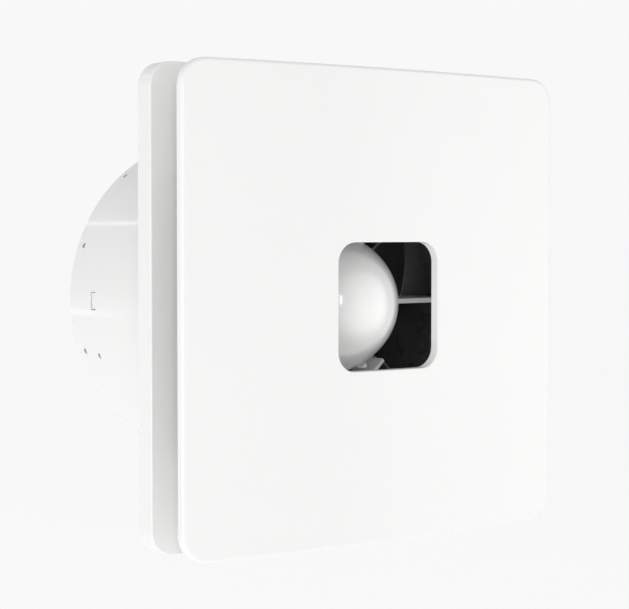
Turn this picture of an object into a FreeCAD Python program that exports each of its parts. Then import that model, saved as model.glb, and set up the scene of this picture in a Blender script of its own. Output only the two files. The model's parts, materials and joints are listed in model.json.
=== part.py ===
import FreeCAD, Part
import math
import os
import re
import Sketcher
from FreeCAD import Placement, Rotation, Vector

# Bathroom extractor fan for a 150 mm duct. Millimetres, +Z up, +X to the right of somebody who
# faces the fan, +Y along the duct into the wall. The origin is on the duct's axis, in the wall's plane.

SIZES = {
    # front panel: a sheet bowed in plan, with a square window over the motor's nose
    "panel_side": 200, "panel_corner": 11.5, "panel_bow": 6.2, "panel_rim": 3.6, "panel_skin": 2.6,
    "panel_round": 1.5, "window_side": 54, "window_corner": 8.8, "window_lip": 4.7, "lip_wall": 1.8,
    "peg_across": 80, "peg_up": 63, "peg_radius": 3, "peg_boss": 5.5,
    # base: a square moulded tray that stands on the wall
    "air_gap": 19.5, "base_depth": 9.5, "base_side": 200, "base_corner": 10.5, "base_skin": 2.5,
    "base_round": 0.6, "ring_bore": 79.8, "ring_outside": 89.8, "ring_back": 4.6,
    "channel_wall": 1.5, "channel_inner": 89.8, "channel_outer": 93.1, "gasket_gap": 0.2,
    "wall_hole_across": 60, "wall_hole_up": 86, "wall_hole_radius": 2.4, "wall_boss_radius": 5,
    "wall_sink_radius": 4.5, "wall_sink_depth": 2,
    # duct spigot
    "spigot_radius": 74.3, "spigot_wall": 1.6, "spigot_reach": 102.4, "flange_radius": 88,
    "flange_front": -4.6, "flange_wall": 2.2, "spigot_screw_circle": 85.9,
    # inlet shroud with its bellmouth
    "shroud_inside": 71, "shroud_wall": 1.4, "shroud_end": 62, "mouth_radius": 79.5, "lip_radius": 83.5,
    # motor pod on its ribs
    "pod_radius": 32.5, "pod_wall": 2, "pod_front": 1, "pod_front_radius": 31.02, "pod_full": 14,
    "pod_end": 27.5, "pod_plate": 3, "rib_front": -2, "rib_end": 25.5, "rib_wall": 2.2,
    "foot_wall": 2.4, "foot_width": 11, "foot_front": 2, "foot_end": 13, "foot_screw": 7.5,
    "guard_inside": 39, "guard_wall": 1.6, "guard_front": 2, "guard_end": 20, "guard_root": 16,
    "nose_length": 43.4, "nose_wall": 1.8, "nose_lip": 4,
    # motor
    "tube_outside": 8.2, "tube_flange": 14, "tube_end": 52, "bearing_radius": 6.5, "bearing_width": 4,
    "shaft_radius": 2.5, "front_bearing": 25.5, "rear_bearing": 46.5, "pitch_radius": 4.5,
    "ball_radius": 0.95, "race_clearance": 0.05, "cup_outside": 30, "cup_wall": 1.2, "cup_front": 31.5,
    "cup_end": 57, "magnet_wall": 2.8, "magnet_front": 35, "magnet_length": 16, "stator_radius": 25.4,
    "stator_front": 37, "stator_length": 12, "stator_yoke": 12, "tooth_width": 4.5, "shoe_inside": 22.4,
    "slot_mouth": 2.6, "insulator_wall": 0.8, "winding_build": 1.9,
    # impeller
    "hub_front": 29.5, "hub_end": 58.8, "blade_tip": 70.2,
    # back-draught damper
    "damper_front": 84, "damper_end": 101, "damper_wall": 1.8, "seat_radius": 66, "seat_wall": 1.8,
    "hinge_depth": 92, "hinge_rod": 1.5, "knuckle_radius": 3.1, "flap_radius": 69.3, "flap_wall": 1.4,
    "flap_front": 86.1, "running_gap": 0.06,
    # terminal box in the lower right corner
    "box_left": 69.5, "box_right": 95, "box_bottom": -95, "box_top": -71.5, "box_height": 13,
    "box_wall": 1.4,
}

RIBS = 6
BLADES = 6
TEETH = 9
BALLS = 7
FLANGE_SCREWS = 6
LEAD_ANGLE = -60            # the rib that carries the motor's lead, degrees from +X towards +Z
LEAD_RADIUS = 2.0
LEAD_DEPTH = 7.0            # where the lead lies against its rib,
LEAD_ASIDE = -3.3           # and how far to the rib's lower side
CLIP_RADIUS = 45.4          # where the lead's clip sits along the rib
GUARD_HALF_ANGLE = 18.6     # how far the wall round the lead reaches, each way from its rib
FRONT_FACE = -SIZES["base_depth"]
# places on the base's lower right corner, as X and Z
SUPPLY_HOLE = (88.6, -89.3)
COVER_SCREW = (82.2, -73.4)
CLAMP_SCREWS = ((74.2, -91.4), (81.6, -91.4))
TERMINALS = (78.6, 87.8)    # the mains terminals, by X,
TERMINAL_ROW = -80.2        # and the height of their row
LEAD_ENTRY = -81.4          # the height at which the lead enters the terminal box
AXIAL = Rotation(Vector(1, 0, 0), -90)      # turns an object built along +Z to lie along +Y

doc = FreeCAD.newDocument("extractor_fan")
sheet = doc.addObject("Spreadsheet::Sheet", "Sizes")
for line, (alias, number) in enumerate(SIZES.items(), start=1):
    sheet.set(f"A{line}", alias)
    sheet.set(f"B{line}", str(number))
    sheet.setAlias(f"B{line}", alias)
doc.recompute()

nodes = []


# ---- helpers: the sheet -------------------------------------------------------------------------

def value(text):
    """The number that an expression of the sheet's words gives."""
    return float(sheet.evalExpression(str(text)))


def formula(text):
    """The same expression, written so that another object can be bound to it."""
    return re.sub(r"[a-z]+(?:_[a-z]+)+", lambda word: "Sizes." + word.group(), str(text))


def bind(target, prop, text):
    """Bind a property to the sheet, or set it where the text is a bare number."""
    target.setExpression(prop, formula(text))


def node(target, label):
    """Mark a finished object as a sub-part of the fan."""
    target.Label = label
    nodes.append(target)
    return target


# ---- helpers: bodies and sketches -----------------------------------------------------------------

def new_body(name):
    return doc.addObject("PartDesign::Body", name + "_body")


def new_sketch(body, name, role="XZ_Plane", at="0"):
    """A sketch on one of the body's own planes. An XZ sketch is drawn in X and Z at the depth given."""
    sketch = body.newObject("Sketcher::SketchObject", name)
    plane = [item for item in body.Origin.OriginFeatures if item.Role == role][0]
    sketch.AttachmentSupport = (plane, [""])
    sketch.MapMode = "FlatFace"
    sign = "-" if role == "XZ_Plane" else ""
    bind(sketch, "AttachmentOffset.Base.z", f"{sign}({at})")
    return sketch


def pin_point(sketch, edge, end, across, up):
    """Fix one end of a sketch edge by its two distances from the sketch's origin."""
    for kind, axis, text in (("DistanceX", -2, across), ("DistanceY", -1, up)):
        number = value(text)
        if abs(number) < 1e-9:
            sketch.addConstraint(Sketcher.Constraint("PointOnObject", edge, end, axis))
            continue
        index = sketch.addConstraint(Sketcher.Constraint(kind, -1, 1, edge, end, number))
        bind(sketch, f"Constraints[{index}]", text)


def outline(sketch, points, arcs=None):
    """A closed outline. arcs gives, for the edge that leaves a point, its radius and which side it
    bulges to: +1 to the right of the way drawn, -1 to the left."""
    arcs = arcs or {}
    ends = [Vector(value(across), value(up), 0) for across, up in points]
    first = sketch.GeometryCount
    starts = []
    for index, start in enumerate(ends):
        stop = ends[(index + 1) % len(ends)]
        if index not in arcs:
            sketch.addGeometry(Part.LineSegment(start, stop), False)
            starts.append((1, 2))
            continue
        radius, side = value(arcs[index][0]), arcs[index][1]
        along = (stop - start).normalize()
        right = Vector(along.y, -along.x, 0)
        half = (stop - start).Length / 2
        rise = radius - math.sqrt(radius * radius - half * half)
        middle = (start + stop) * 0.5 + right * (side * rise)
        number = sketch.addGeometry(Part.ArcOfCircle(start, middle, stop), False)
        begins = sketch.getPoint(number, 1)
        starts.append((1, 2) if (begins - start).Length < 1e-6 else (2, 1))
    for index, (across, up) in enumerate(points):
        after = (index + 1) % len(points)
        sketch.addConstraint(Sketcher.Constraint("Coincident", first + index, starts[index][1],
                                                 first + after, starts[after][0]))
        pin_point(sketch, first + index, starts[index][0], across, up)
        if index in arcs:
            rule = sketch.addConstraint(Sketcher.Constraint("Radius", first + index,
                                                            value(arcs[index][0])))
            bind(sketch, f"Constraints[{rule}]", arcs[index][0])


def rectangle(sketch, left, bottom, right, top, corner=None):
    """An upright rectangle, with round corners where a corner radius is given."""
    if corner is None:
        outline(sketch, [(left, bottom), (right, bottom), (right, top), (left, top)])
        return
    bend = f"({corner})"
    points = [(f"{left}+{bend}", bottom), (f"{right}-{bend}", bottom),
              (right, f"{bottom}+{bend}"), (right, f"{top}-{bend}"),
              (f"{right}-{bend}", top), (f"{left}+{bend}", top),
              (left, f"{top}-{bend}"), (left, f"{bottom}+{bend}")]
    outline(sketch, points, {index: (corner, 1) for index in (1, 3, 5, 7)})


def square(sketch, half, corner):
    rectangle(sketch, f"-({half})", f"-({half})", f"({half})", f"({half})", corner)


def circle(sketch, radius, across="0", up="0"):
    number = sketch.addGeometry(Part.Circle(Vector(value(across), value(up), 0), Vector(0, 0, 1),
                                            value(radius)), False)
    pin_point(sketch, number, 3, across, up)
    index = sketch.addConstraint(Sketcher.Constraint("Radius", number, value(radius)))
    bind(sketch, f"Constraints[{index}]", radius)


def volume(body):
    return body.Shape.Volume if body.Tip and not body.Shape.isNull() else 0.0


def pad(body, name, start, stop, draw):
    """Add what draw puts in the sketch, from one depth to a deeper one."""
    sketch = new_sketch(body, name + "_sketch", at=start)
    draw(sketch)
    before = volume(body)
    feature = body.newObject("PartDesign::Pad", name)
    feature.Profile = sketch
    feature.Reversed = True
    bind(feature, "Length", f"({stop})-({start})")
    doc.recompute()
    if volume(body) <= before:
        raise RuntimeError(f"{name} adds nothing")
    return feature


def pocket(body, name, start, stop, draw):
    """Cut what draw puts in the sketch, from one depth to a deeper one."""
    sketch = new_sketch(body, name + "_sketch", at=start)
    draw(sketch)
    before = volume(body)
    feature = body.newObject("PartDesign::Pocket", name)
    feature.Profile = sketch
    bind(feature, "Length", f"({stop})-({start})")
    doc.recompute()
    if volume(body) >= before:
        raise RuntimeError(f"{name} cuts nothing")
    return feature


def revolve(body, name, points, arcs=None, kind="Revolution"):
    """Turn an outline, drawn as radius and depth, about the duct's axis."""
    sketch = new_sketch(body, name + "_sketch", role="XY_Plane")
    outline(sketch, points, arcs)
    before = volume(body)
    feature = body.newObject("PartDesign::" + kind, name)
    feature.Profile = sketch
    feature.ReferenceAxis = (sketch, ["V_Axis"])
    feature.Angle = 360
    doc.recompute()
    if (volume(body) <= before) == (kind == "Revolution"):
        raise RuntimeError(f"{name} changes nothing")
    return feature


def round_edges(body, name, radius, wanted):
    """Fillet every edge of the body's last feature that the test accepts."""
    tip = body.Tip
    picked = [f"Edge{index}" for index, edge in enumerate(tip.Shape.Edges, start=1) if wanted(edge)]
    if not picked:
        raise RuntimeError(f"{name} finds no edge")
    feature = body.newObject("PartDesign::Fillet", name)
    feature.Base = (tip, picked)
    bind(feature, "Radius", radius)
    doc.recompute()
    return feature


def turned(label, points, arcs=None):
    """A sub-part made on the lathe: one outline of radius and depth, turned about the duct's axis."""
    body = new_body(label)
    revolve(body, label + "_turning", points, arcs)
    return node(body, label)


# ---- helpers: primitives and booleans -----------------------------------------------------------

def rod(name, radius, start, stop, across="0", up="0"):
    """A cylinder along the duct's axis."""
    item = doc.addObject("Part::Cylinder", name)
    bind(item, "Radius", radius)
    bind(item, "Height", f"({stop})-({start})")
    item.Placement = Placement(Vector(0, 0, 0), AXIAL)
    bind(item, "Placement.Base.x", across)
    bind(item, "Placement.Base.y", start)
    bind(item, "Placement.Base.z", up)
    return item


def cut(name, base, tool):
    item = doc.addObject("Part::Cut", name)
    item.Base = base
    item.Tool = tool
    return item


def fuse(name, *shapes):
    item = doc.addObject("Part::MultiFuse", name)
    item.Shapes = list(shapes)
    return item


def common(name, *shapes):
    item = doc.addObject("Part::MultiCommon", name)
    item.Shapes = list(shapes)
    return item


def tube(name, outside, inside, start, stop, across="0", up="0"):
    outer = rod(name + "_outside", outside, start, stop, across, up)
    inner = rod(name + "_inside", inside, f"({start})-1", f"({stop})+1", across, up)
    return cut(name, outer, inner)


def feature(label, shape):
    """A sub-part whose shape is worked out in code from the sheet's numbers."""
    item = doc.addObject("Part::Feature", label)
    item.Shape = shape
    return item


def cylinder(radius, length, start, direction=Vector(0, 1, 0)):
    return Part.makeCylinder(radius, length, start, direction)


def box(size, centre):
    return Part.makeBox(size.x, size.y, size.z, centre - size * 0.5)


def round_about(shape, count, first=0.0):
    """Copies of a shape, evenly spaced about the duct's axis. Positive angles go from +X to +Z."""
    copies = []
    for index in range(count):
        copy = shape.copy()
        copy.rotate(Vector(0, 0, 0), Vector(0, -1, 0), first + index * 360 / count)
        copies.append(copy)
    return copies


def union(shapes):
    joined = shapes[0].multiFuse(shapes[1:])
    return joined.removeSplitter()


def at_angle(radius, degrees, depth=0.0):
    angle = math.radians(degrees)
    return Vector(radius * math.cos(angle), depth, radius * math.sin(angle))


def screw(shank, length, head, height, countersunk=False):
    """A cross-head screw that points along +Y, with the underside of its head in the XZ plane."""
    point = min(shank, length / 3)
    body = cylinder(shank, length - point, Vector(0, 0, 0))
    tip = Part.makeCone(shank, shank * 0.35, point, Vector(0, length - point, 0), Vector(0, 1, 0))
    if countersunk:
        top = Part.makeCone(head, shank, height, Vector(0, 0, 0), Vector(0, 1, 0))
        face = 0.0
    else:
        top = cylinder(head, height, Vector(0, -height, 0))
        rim = [edge for edge in top.Edges if abs(edge.BoundBox.YMin + height) < 1e-6
               and abs(edge.BoundBox.YMax + height) < 1e-6 and edge.Length > head]
        top = top.makeFillet(height * 0.45, rim[:1])
        face = -height
    whole = body.fuse([tip, top])
    slot = height * 0.6
    for turn in (0, 90):
        blade = box(Vector(head * 1.1, slot * 2, head * 0.26), Vector(0, face, 0))
        blade.rotate(Vector(0, face, 0), Vector(0, 1, 0), turn)
        whole = whole.cut(blade)
    return whole


def placed(shape, position, direction=Vector(0, 1, 0)):
    copy = shape.copy()
    copy.Placement = Placement(position, Rotation(Vector(0, 1, 0), direction))
    return copy


def screws(label, shape, places, direction=Vector(0, 1, 0)):
    """Identical screws, in one node as separate solids."""
    copies = [placed(shape, place, direction) for place in places]
    return node(feature(label, Part.makeCompound(copies)), label)


# ---- front panel ----------------------------------------------------------------------------------

def runs_along_duct(edge):
    return edge.BoundBox.XLength < 1e-6 and edge.BoundBox.ZLength < 1e-6


def make_front_panel():
    edge = "-(base_depth+air_gap)"
    half = "panel_side/2"
    # the radius of the panel's bow, from its width and rise
    bend = "(panel_side^2/4+panel_bow^2)/(2*panel_bow)"
    body = new_body("front_panel")

    sheet_sketch = new_sketch(body, "panel_plan", role="XY_Plane")
    front = f"{edge}-panel_rim"
    outline(sheet_sketch, [(f"-{half}", edge), (f"-{half}", front), (half, front), (half, edge)],
            {1: (bend, 1), 3: (bend, -1)})
    sheet_pad = body.newObject("PartDesign::Pad", "panel_sheet")
    sheet_pad.Profile = sheet_sketch
    sheet_pad.SideType = "Symmetric"
    bind(sheet_pad, "Length", "panel_side")
    doc.recompute()
    round_edges(body, "panel_corners", "panel_corner", runs_along_duct)

    # the back is hollowed to the skin's thickness inside a rim
    inner = f"{half}-panel_rim"
    deep = f"{edge}-panel_rim+panel_skin"
    out = f"{edge}+4"
    recess = new_sketch(body, "panel_recess_plan", role="XY_Plane")
    start = f"{deep}-panel_bow+{bend}-sqrt(({bend})^2-({inner})^2)"
    outline(recess, [(f"-({inner})", out), (f"-({inner})", start), (inner, start), (inner, out)],
            {1: (bend, 1)})
    hollow = body.newObject("PartDesign::Pocket", "panel_recess")
    hollow.Profile = recess
    hollow.SideType = "Symmetric"
    bind(hollow, "Length", f"2*({inner})")
    doc.recompute()

    # a lip stands round the window, and four pegs stand behind the corners
    lip = "window_side/2+lip_wall"
    centre_front = f"{edge}-panel_rim-panel_bow"
    pad(body, "window_frame", f"{centre_front}+panel_skin*0.7", f"{centre_front}+window_lip",
        lambda s: square(s, lip, "window_corner+lip_wall"))
    pocket(body, "window_hole", f"{centre_front}-2", "0",
           lambda s: square(s, "window_side/2", "window_corner"))

    def four_pegs(radius):
        def draw(sketch):
            for across in ("peg_across", "-peg_across"):
                for up in ("peg_up", "-peg_up"):
                    circle(sketch, radius, across, up)
        return draw

    pad(body, "peg_roots", f"{edge}-panel_skin-2.4", f"{edge}-0.5", four_pegs("peg_boss"))
    pad(body, "pegs", f"{edge}-2", "-2.5", four_pegs("peg_radius"))

    def on_front_rim(edge_shape):
        """Edges of the bowed front face, which lies on one cylinder."""
        radius = value(bend)
        axis_depth = value(front) - value("panel_bow") + radius
        for spot in (0.1, 0.5, 0.9):
            first, last = edge_shape.ParameterRange
            point = edge_shape.valueAt(first + (last - first) * spot)
            if abs(math.hypot(point.x, point.y - axis_depth) - radius) > 1e-4:
                return False
        return True

    def outer_rim(edge_shape):
        middle = edge_shape.CenterOfMass
        return on_front_rim(edge_shape) and max(abs(middle.x), abs(middle.z)) > value(half) * 0.8

    def window_rim(edge_shape):
        middle = edge_shape.CenterOfMass
        return on_front_rim(edge_shape) and max(abs(middle.x), abs(middle.z)) < value(half) * 0.5

    round_edges(body, "panel_rounding", "panel_round", outer_rim)
    round_edges(body, "window_rounding", "panel_round/3", window_rim)
    return node(body, "front_panel")


def make_panel_bushes():
    """Rubber bushes in the base that grip the panel's pegs."""
    profile = [Vector(3.12, -11.1, 0), Vector(6, -11.1, 0), Vector(6.4, -10.6, 0), Vector(6.4, -9.5, 0),
               Vector(5, -9.5, 0), Vector(5, -7, 0), Vector(6.2, -7, 0), Vector(5.2, -3.6, 0),
               Vector(3.12, -3.6, 0)]
    ring = Part.Face(Part.makePolygon(profile + profile[:1])).revolve(Vector(), Vector(0, 1, 0), 360)
    across, up = value("peg_across"), value("peg_up")
    places = [Vector(x, 0, z) for x in (-across, across) for z in (-up, up)]
    return screws("panel_bushes", ring, places)


# ---- base -----------------------------------------------------------------------------------------

def signs(across, up):
    return [(a, u) for a in (across, f"-{across}") for u in (up, f"-{up}")]


def make_base_frame():
    front = "-base_depth"
    inside = "-base_depth+base_skin"
    body = new_body("base_frame")
    pad(body, "tray", front, "0", lambda s: square(s, "base_side/2", "base_corner"))
    round_edges(body, "tray_rounding", "base_round",
                lambda e: e.BoundBox.YMax < value(front) + 1e-6)
    pocket(body, "tray_hollow", inside, "1",
           lambda s: square(s, "base_side/2-base_skin", "base_corner-base_skin"))

    def rings(sketch, *radii):
        for radius in radii:
            circle(sketch, radius)

    pad(body, "mouth_ring", f"{inside}-0.5", "-ring_back",
        lambda s: rings(s, "ring_outside", "ring_bore-1"))
    pad(body, "channel_inside", f"{inside}-0.5", "0",
        lambda s: rings(s, "channel_inner", "channel_inner-channel_wall"))
    pad(body, "channel_outside", f"{inside}-0.5", "0",
        lambda s: rings(s, "channel_outer", "channel_outer+channel_wall"))

    def four(radius, across, up):
        def draw(sketch):
            for place in signs(across, up):
                circle(sketch, radius, *place)
        return draw

    pad(body, "wall_bosses", f"{inside}-0.5", "0",
        four("wall_boss_radius", "wall_hole_across", "wall_hole_up"))

    # stiffening ribs from the channel to the tray's sides, two on each side
    half = "base_side/2-base_skin+0.5"
    for name, near, far in (("ribs_plus", "channel_outer", half),
                            ("ribs_minus", f"-({half})", "-channel_outer")):
        for upright in (True, False):
            def draw(sketch, near=near, far=far, upright=upright):
                for side in ("-22", "20.5"):
                    if upright:
                        rectangle(sketch, side, near, f"{side}+1.5", far)
                    else:
                        rectangle(sketch, near, side, far, f"{side}+1.5")

            pad(body, name + ("_upright" if upright else "_level"), f"{inside}-0.5", "-1.5", draw)

    pocket(body, "mouth_hole", f"{front}-1", "1", lambda s: circle(s, "ring_bore"))
    pocket(body, "lip_seat", "-ring_back-2", "1", lambda s: circle(s, "lip_radius+0.1"))
    pocket(body, "wall_holes", f"{front}-1", "1",
           four("wall_hole_radius", "wall_hole_across", "wall_hole_up"))
    pocket(body, "wall_sinks", f"{front}-1", f"{front}+wall_sink_depth",
           four("wall_sink_radius", "wall_hole_across", "wall_hole_up"))
    pocket(body, "bush_holes", f"{front}-1", "1", four("5", "peg_across", "peg_up"))

    def pilot_holes(sketch):
        for index in range(FLANGE_SCREWS):
            place = at_angle(value("spigot_screw_circle"), 30 + 60 * index)
            circle(sketch, "1.2", f"{place.x:.4f}", f"{place.z:.4f}")

    pocket(body, "flange_pilots", f"{inside}-0.6", "-ring_back+1", pilot_holes)
    pocket(body, "supply_hole", f"{front}-1", "1", lambda s: circle(s, "3.4", *SUPPLY_HOLE))

    def box_pilots(sketch):
        for place in CLAMP_SCREWS:
            circle(sketch, "0.9", *place)
        circle(sketch, "1.15", *COVER_SCREW)

    pocket(body, "box_pilot_holes", f"{front}-1", f"{front}+2.6", box_pilots)
    return node(body, "base_frame")


def make_wall_gasket():
    return node(tube("wall_gasket", "channel_outer-gasket_gap", "channel_inner+gasket_gap",
                     "-base_depth+base_skin", "0"), "wall_gasket")


# ---- duct spigot and shroud -----------------------------------------------------------------------

LATCH_DEPTH = (79.4, 83.4)
LATCH_WIDTH = 8.2
# pips in the spigot's wall: degrees up from its sides, and depth
PIPS = ((19.6, 97.0), (-18.4, 95.4), (-19.7, 83.6), (50.3, 97.6))


def latch_block(side, grow, inside, outside):
    """A block through the spigot's wall where a latch sits, on the left (-1) or right (+1)."""
    deep = LATCH_DEPTH[1] - LATCH_DEPTH[0] + 2 * grow
    middle = (LATCH_DEPTH[1] + LATCH_DEPTH[0]) / 2
    reach = (inside + outside) / 2
    return box(Vector(outside - inside, deep, LATCH_WIDTH + 2 * grow), Vector(side * reach, middle, 0))


def make_duct_spigot():
    tube_inside = "spigot_radius-spigot_wall"
    flange_end = "flange_front+flange_wall"
    outer_body = new_body("spigot_tube")
    revolve(outer_body, "spigot_turning",
            [("spigot_radius", "spigot_reach-0.5"), ("spigot_radius-0.5", "spigot_reach"),
             (tube_inside, "spigot_reach"), (tube_inside, "-0.6"),
             ("spigot_radius-0.1", "flange_front"), ("flange_radius", "flange_front"),
             ("flange_radius", flange_end), ("spigot_radius+1.6", flange_end),
             ("spigot_radius", f"{flange_end}+1.6")])

    def flange_holes(sketch):
        for index in range(FLANGE_SCREWS):
            place = at_angle(value("spigot_screw_circle"), 30 + 60 * index)
            circle(sketch, "1.7", f"{place.x:.4f}", f"{place.z:.4f}")

    pocket(outer_body, "flange_holes", "flange_front-1", "flange_front+flange_wall+1", flange_holes)
    radius = value("spigot_radius")
    windows = [latch_block(side, 0.0, radius - 4, radius + 2) for side in (-1, 1)]
    for angle, depth in PIPS:
        for turn in (180 - angle, -angle):
            pip = cylinder(0.9, 2.0, at_angle(radius - 0.7, turn, depth), at_angle(1, turn))
            slot = box(Vector(1.4, 1.4, 2.6), Vector(radius, depth - 0.7, 0))
            slot.rotate(Vector(), Vector(0, -1, 0), turn)
            windows += [pip, slot]
    cutters = feature("spigot_cutters", union(windows))
    return node(cut("duct_spigot", outer_body, cutters), "duct_spigot")


def make_inlet_shroud():
    outside = "shroud_inside+shroud_wall"
    seat = "-ring_back-2"
    rounded = "mouth_radius-shroud_inside"
    wall = f"({rounded})-shroud_wall"
    # where the outer curve of the bellmouth leaves the flange
    leave = f"mouth_radius-sqrt(({wall})^2-(base_depth-({rounded})-ring_back)^2)"
    level = f"{rounded}-base_depth"
    body = new_body("inlet_shroud")
    revolve(body, "shroud_turning",
            [("mouth_radius", "-base_depth"), ("mouth_radius", seat), ("lip_radius", seat),
             ("lip_radius", "-ring_back"), (leave, "-ring_back"), (outside, level),
             (outside, "shroud_end"), ("shroud_inside", "shroud_end"), ("shroud_inside", level)],
            {4: (wall, -1), 8: (rounded, 1)})

    depth = value("foot_screw")
    countersink = Part.makeCone(2.9, 1.5, 1.45, Vector(value(outside) + 0.02, depth, 0), Vector(-1, 0, 0))
    hole = cylinder(1.55, 6, Vector(value("shroud_inside") - 3, depth, 0), Vector(1, 0, 0))
    holes = feature("shroud_holes", Part.makeCompound(round_about(countersink.fuse(hole), RIBS)))
    return node(cut("inlet_shroud", body, holes), "inlet_shroud")


# ---- motor pod ------------------------------------------------------------------------------------

def ring_wall(inside, outside, front, end):
    """A ring about the duct's axis."""
    ring = cylinder(outside, end - front, Vector(0, front, 0))
    return ring.cut(cylinder(inside, end - front + 2, Vector(0, front - 1, 0)))


def lead_guard():
    """A curved wall moulded across the lead's rib, notched at the front for the lead to pass."""
    inside, front = value("guard_inside"), value("guard_front")
    wall = ring_wall(inside, inside + value("guard_wall"), front, value("guard_end"))
    wedge = Part.makePolygon([at_angle(0, 0, front - 1), at_angle(60, -GUARD_HALF_ANGLE, front - 1),
                              at_angle(60, GUARD_HALF_ANGLE, front - 1), at_angle(0, 0, front - 1)])
    wall = wall.common(Part.Face(wedge).extrude(Vector(0, 30, 0)))
    notch_end = LEAD_DEPTH + LEAD_RADIUS + 0.35
    low, high = LEAD_ASIDE - LEAD_RADIUS - 0.35, -value("rib_wall") / 2
    wall = wall.cut(box(Vector(8, 2 * (notch_end - front), high - low),
                        Vector(inside, front, (low + high) / 2)))
    wall.rotate(Vector(), Vector(0, -1, 0), LEAD_ANGLE)
    return wall


def make_motor_frame():
    """The motor's pod, carried on flat ribs that end in feet against the shroud."""
    skin = "pod_wall"
    plate = "pod_end-pod_plate"
    curve = "((pod_full-pod_front)^2+(pod_radius-pod_front_radius)^2)/(2*(pod_radius-pod_front_radius))"
    body = new_body("pod")
    revolve(body, "pod_turning",
            [("pod_front_radius", "pod_front"), ("pod_radius", "pod_full"), ("pod_radius", "pod_end"),
             ("tube_outside+0.05", "pod_end"), ("tube_outside+0.05", plate),
             (f"pod_radius-{skin}", plate), (f"pod_radius-{skin}", "pod_full"),
             (f"pod_front_radius-{skin}", "pod_front")],
            {0: (curve, -1), 6: (curve, 1)})

    shroud = value("shroud_inside")
    front, end = value("rib_front"), value("rib_end")
    middle = (front + end) / 2
    inside = value("pod_radius") - value("pod_wall") + 0.4
    length = end - front
    rib = box(Vector(shroud - inside - 1, length, value("rib_wall")),
              Vector((shroud + inside) / 2 - 0.5, middle, 0))
    long_edges = [edge for edge in rib.Edges if edge.BoundBox.YLength < 1e-6
                  and edge.BoundBox.ZLength < 1e-6]
    rib = rib.makeFillet(0.5, long_edges)
    # the rib stops short of the open end of the pod, and stays outside its wall
    core = cylinder(value("pod_front_radius") - 1, 40, Vector(0, front - 5, 0))
    nose_room = cylinder(value("pod_front_radius") + 0.6, value("pod_front") - front + 5,
                         Vector(0, front - 5, 0))
    rib = rib.cut([core, nose_room])
    foot = ring_wall(shroud - value("foot_wall"), shroud, value("foot_front"), value("foot_end"))
    foot = foot.common(box(Vector(20, length, value("foot_width")), Vector(shroud, middle, 0)))
    arms = feature("pod_arms", Part.makeCompound(round_about(rib.fuse(foot), RIBS)))
    joined = fuse("pod_with_arms", body, arms, feature("lead_guard", lead_guard()))

    # pilot holes for the rib screws, the lead's window, and its rib stepped back behind that window
    pilot = cylinder(1.5, 6, Vector(shroud - 3, value("foot_screw"), 0), Vector(1, 0, 0))
    window = box(Vector(8, 9, 7), Vector(30, 8, 0))
    start, reach = value("pod_radius") + 0.8, value("guard_inside") + 0.4
    step = box(Vector(reach - start, value("guard_root") - front + 1, value("rib_wall") + 1),
               Vector((start + reach) / 2, (value("guard_root") + front - 1) / 2, 0))
    for opening in (window, step):
        opening.rotate(Vector(), Vector(0, -1, 0), LEAD_ANGLE)
    flange_pilot = cylinder(1.0, value("pod_plate") - 0.8, Vector(11.2, value(plate), 0))
    openings = round_about(pilot, RIBS) + [window.fuse(step)] + round_about(flange_pilot, 3, 30)
    for angle in (60, 180, 300):
        openings.append(cylinder(1.6, 6, at_angle(22, angle, value(plate) - 1)))
    trimmed = cut("pod_trimmed", joined, feature("pod_openings", Part.makeCompound(openings)))
    posts = []
    for angle in (0, 120, 240):
        post = cylinder(3, value(plate) - 12 + 0.5, at_angle(23.5, angle, 12))
        posts.append(post.cut(cylinder(0.95, 6, at_angle(23.5, angle, 11))))
    pillars = feature("board_pillars", Part.makeCompound(posts))
    return node(fuse("motor_frame", trimmed, pillars), "motor_frame")


def make_rib_screws():
    shape = screw(1.45, 3.9, 2.8, 1.35, countersunk=True)
    radius = value("shroud_inside+shroud_wall") - 0.02
    copies = []
    for index in range(RIBS):
        angle = index * 360 / RIBS
        copies.append(placed(shape, at_angle(radius, angle, value("foot_screw")), at_angle(-1, angle)))
    return node(feature("rib_screws", Part.makeCompound(copies)), "rib_screws")


def make_nose_dome():
    """A bullet-shaped cap in front of the motor, with a lip that plugs into the pod."""
    def egg(name, shrink):
        item = doc.addObject("Part::Ellipsoid", name)
        bind(item, "Radius2", f"pod_radius-{shrink}")
        bind(item, "Radius3", f"nose_length-{shrink}")
        bind(item, "Radius1", f"pod_radius-{shrink}")
        bind(item, "Placement.Base.y", "pod_full")
        return item

    shell = cut("nose_shell", egg("nose_outside", "0"), egg("nose_inside", "nose_wall"))
    keep = rod("nose_keep", "pod_radius+2", "pod_full-nose_length-1", "pod_front")
    dome = common("nose_cap", shell, keep)
    lip = tube("nose_lip", "pod_front_radius-pod_wall-0.1", "pod_front_radius-pod_wall-1.5",
               "pod_front-1.2", "pod_front+nose_lip")
    return node(fuse("nose_dome", dome, lip), "nose_dome")


# ---- driver board ---------------------------------------------------------------------------------

BOARD_FRONT, BOARD_BACK = 10.4, 12.0


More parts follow.
